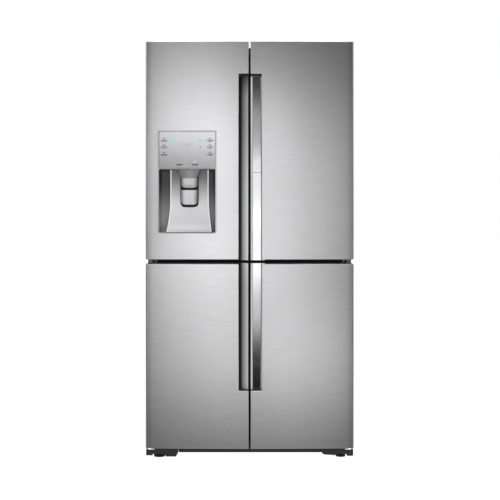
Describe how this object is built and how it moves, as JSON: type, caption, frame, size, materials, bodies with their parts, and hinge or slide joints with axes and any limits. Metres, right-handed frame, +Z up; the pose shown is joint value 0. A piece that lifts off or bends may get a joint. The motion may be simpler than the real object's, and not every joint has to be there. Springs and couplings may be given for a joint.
{
  "type": "french door refrigerator",
  "caption": "Free-standing refrigerator with french doors over two lower doors, pocket handles, an ice and water dispenser and a door-in-door.",
  "frame": {"origin": "on the floor, at the middle of the width and depth", "axes": "+X to the viewer's right when facing the doors, +Y to the back, +Z up"},
  "size_m": [0.908, 0.88, 1.828],
  "materials": {
    "case_paint": "satin grey paint",
    "foam": "foamed, matte",
    "liner_white": "smooth white",
    "frame_steel": "zinc grey",
    "black_plastic": "fine matte grain",
    "hinge_steel": "plain steel",
    "grey_plastic": "fine matte grain",
    "compressor_paint": "gloss black paint",
    "coil_metal": "mill finish",
    "shelf_glass": "clear tempered glass",
    "valve_brass": "plain brass",
    "clear_plastic": "clear moulded plastic",
    "door_steel": "fine horizontal brushing, satin",
    "door_fitting": "dark grey moulding",
    "gasket_rubber": "soft grey rubber",
    "dispenser_dark": "dark moulding",
    "dispenser_silver": "metallic silver moulding",
    "trim_chrome": "polished"
  },
  "bodies": {
    "cabinet": {"outer_case": "case_paint", "insulation_foam": "foam", "inner_liners": "liner_white", "air_ducts": "liner_white", "base_frame": "frame_steel", "toe_grille": "black_plastic", "door_hinges": "hinge_steel", "hinge_covers": "grey_plastic", "compressor": "compressor_paint", "condenser": "coil_metal", "compressor_cover": "black_plastic", "evaporators": "coil_metal", "ice_maker_housing": "liner_white", "glass_shelves": "shelf_glass", "rear_inlets": "valve_brass"},
    "levelling_leg_left": {"levelling_leg_left": "black_plastic"},
    "levelling_leg_right": {"levelling_leg_right": "black_plastic"},
    "rear_rollers": {"rear_rollers": "black_plastic"},
    "condenser_fan": {"condenser_fan": "grey_plastic"},
    "evaporator_fan": {"evaporator_fan": "liner_white"},
    "ice_bucket": {"ice_bucket": "clear_plastic"},
    "crisper_left": {"crisper_left": "clear_plastic"},
    "crisper_right": {"crisper_right": "clear_plastic"},
    "pantry_drawer": {"pantry_drawer": "clear_plastic"},
    "freezer_drawer_upper": {"freezer_drawer_upper": "clear_plastic"},
    "freezer_drawer_lower": {"freezer_drawer_lower": "clear_plastic"},
    "flex_drawer_upper": {"flex_drawer_upper": "clear_plastic"},
    "flex_drawer_lower": {"flex_drawer_lower": "clear_plastic"},
    "water_lever": {"water_lever": "dispenser_silver"},
    "ice_lever": {"ice_lever": "dispenser_silver"},
    "mullion_flap": {"mullion_flap": "door_fitting"},
    "release_lever": {"release_lever": "trim_chrome"},
    "upper_left_door": {"upper_left_door_skin": "door_steel", "upper_left_door_fittings": "door_fitting", "upper_left_door_foam": "foam", "upper_left_door_liner": "liner_white", "upper_left_door_gasket": "gasket_rubber", "upper_left_door_bins": "clear_plastic", "dispenser_housing": "dispenser_dark", "dispenser_panel": "dispenser_silver", "dispenser_tongue": "dispenser_silver"},
    "showcase_door_frame": {"showcase_frame": "liner_white", "showcase_bins": "clear_plastic"},
    "upper_right_door": {"upper_right_door_skin": "door_steel", "upper_right_door_fittings": "door_fitting", "upper_right_door_foam": "foam", "upper_right_door_liner": "liner_white", "upper_right_door_gasket": "gasket_rubber", "upper_handle_trim": "trim_chrome"},
    "lower_left_door": {"lower_left_door_skin": "door_steel", "lower_left_door_fittings": "door_fitting", "lower_left_door_foam": "foam", "lower_left_door_liner": "liner_white", "lower_left_door_gasket": "gasket_rubber"},
    "lower_right_door": {"lower_right_door_skin": "door_steel", "lower_right_door_fittings": "door_fitting", "lower_right_door_foam": "foam", "lower_right_door_liner": "liner_white", "lower_right_door_gasket": "gasket_rubber", "lower_handle_trim": "trim_chrome"}
  },
  "joints": [
    {"name": "upper_left_door_hinge", "type": "hinge", "parent": "cabinet", "child": "upper_left_door", "pos_m": [-0.432, -0.363, 1.344], "axis": [0, 0, -1], "range_deg": [0, 125]},
    {"name": "showcase_frame_hinge", "type": "hinge", "parent": "cabinet", "child": "showcase_door_frame", "pos_m": [0.432, -0.363, 1.344], "axis": [0, 0, 1], "range_deg": [0, 125]},
    {"name": "upper_right_door_hinge", "type": "hinge", "parent": "showcase_door_frame", "child": "upper_right_door", "pos_m": [0.432, -0.363, 1.344], "axis": [0, 0, -1], "range_deg": [-110, 0]},
    {"name": "lower_left_door_hinge", "type": "hinge", "parent": "cabinet", "child": "lower_left_door", "pos_m": [-0.432, -0.363, 0.449], "axis": [0, 0, -1], "range_deg": [0, 125]},
    {"name": "lower_right_door_hinge", "type": "hinge", "parent": "cabinet", "child": "lower_right_door", "pos_m": [0.432, -0.363, 0.449], "axis": [0, 0, 1], "range_deg": [0, 125]},
    {"name": "mullion_flap_hinge", "type": "hinge", "parent": "upper_left_door", "child": "mullion_flap", "pos_m": [-0.032, -0.306, 1.316], "axis": [0, 0, -1], "range_deg": [0, 90]},
    {"name": "release_lever_hinge", "type": "hinge", "parent": "upper_right_door", "child": "release_lever", "pos_m": [0.017, -0.4254, 1.056], "axis": [0, 0, 1], "range_deg": [0, 5], "stiffness_Nm_per_rad": 2, "springref_deg": -2.86},
    {"name": "water_lever_hinge", "type": "hinge", "parent": "upper_left_door", "child": "water_lever", "pos_m": [-0.264, -0.388, 1.176], "axis": [1, 0, 0], "range_deg": [0, 8], "stiffness_Nm_per_rad": 0.3, "springref_deg": -8.59},
    {"name": "ice_lever_hinge", "type": "hinge", "parent": "upper_left_door", "child": "ice_lever", "pos_m": [-0.264, -0.388, 1.236], "axis": [1, 0, 0], "range_deg": [0, 8], "stiffness_Nm_per_rad": 0.3, "springref_deg": -8.59},
    {"name": "ice_bucket_slide", "type": "slide", "parent": "cabinet", "child": "ice_bucket", "axis": [0, -1, 0], "range_m": [0, 0.06]},
    {"name": "crisper_left_slide", "type": "slide", "parent": "cabinet", "child": "crisper_left", "axis": [0, -1, 0], "range_m": [0, 0.075]},
    {"name": "crisper_right_slide", "type": "slide", "parent": "cabinet", "child": "crisper_right", "axis": [0, -1, 0], "range_m": [0, 0.075]},
    {"name": "pantry_drawer_slide", "type": "slide", "parent": "cabinet", "child": "pantry_drawer", "axis": [0, -1, 0], "range_m": [0, 0.075]},
    {"name": "freezer_drawer_upper_slide", "type": "slide", "parent": "cabinet", "child": "freezer_drawer_upper", "axis": [0, -1, 0], "range_m": [0, 0.085]},
    {"name": "freezer_drawer_lower_slide", "type": "slide", "parent": "cabinet", "child": "freezer_drawer_lower", "axis": [0, -1, 0], "range_m": [0, 0.085]},
    {"name": "flex_drawer_upper_slide", "type": "slide", "parent": "cabinet", "child": "flex_drawer_upper", "axis": [0, -1, 0], "range_m": [0, 0.085]},
    {"name": "flex_drawer_lower_slide", "type": "slide", "parent": "cabinet", "child": "flex_drawer_lower", "axis": [0, -1, 0], "range_m": [0, 0.085]},
    {"name": "rear_rollers_axle", "type": "hinge", "parent": "cabinet", "child": "rear_rollers", "pos_m": [0, 0.38, 0.022], "axis": [1, 0, 0], "continuous": true},
    {"name": "levelling_leg_left_thread", "type": "hinge", "parent": "cabinet", "child": "levelling_leg_left", "pos_m": [-0.397, -0.365, 0.02], "axis": [0, 0, 1], "continuous": true},
    {"name": "levelling_leg_right_thread", "type": "hinge", "parent": "cabinet", "child": "levelling_leg_right", "pos_m": [0.4, -0.365, 0.02], "axis": [0, 0, 1], "continuous": true},
    {"name": "condenser_fan_shaft", "type": "hinge", "parent": "cabinet", "child": "condenser_fan", "pos_m": [-0.047, 0.305, 0.19], "axis": [1, 0, 0], "continuous": true},
    {"name": "evaporator_fan_shaft", "type": "hinge", "parent": "cabinet", "child": "evaporator_fan", "pos_m": [-0.217, 0.33, 0.73], "axis": [0, 1, 0], "continuous": true}
  ]
}
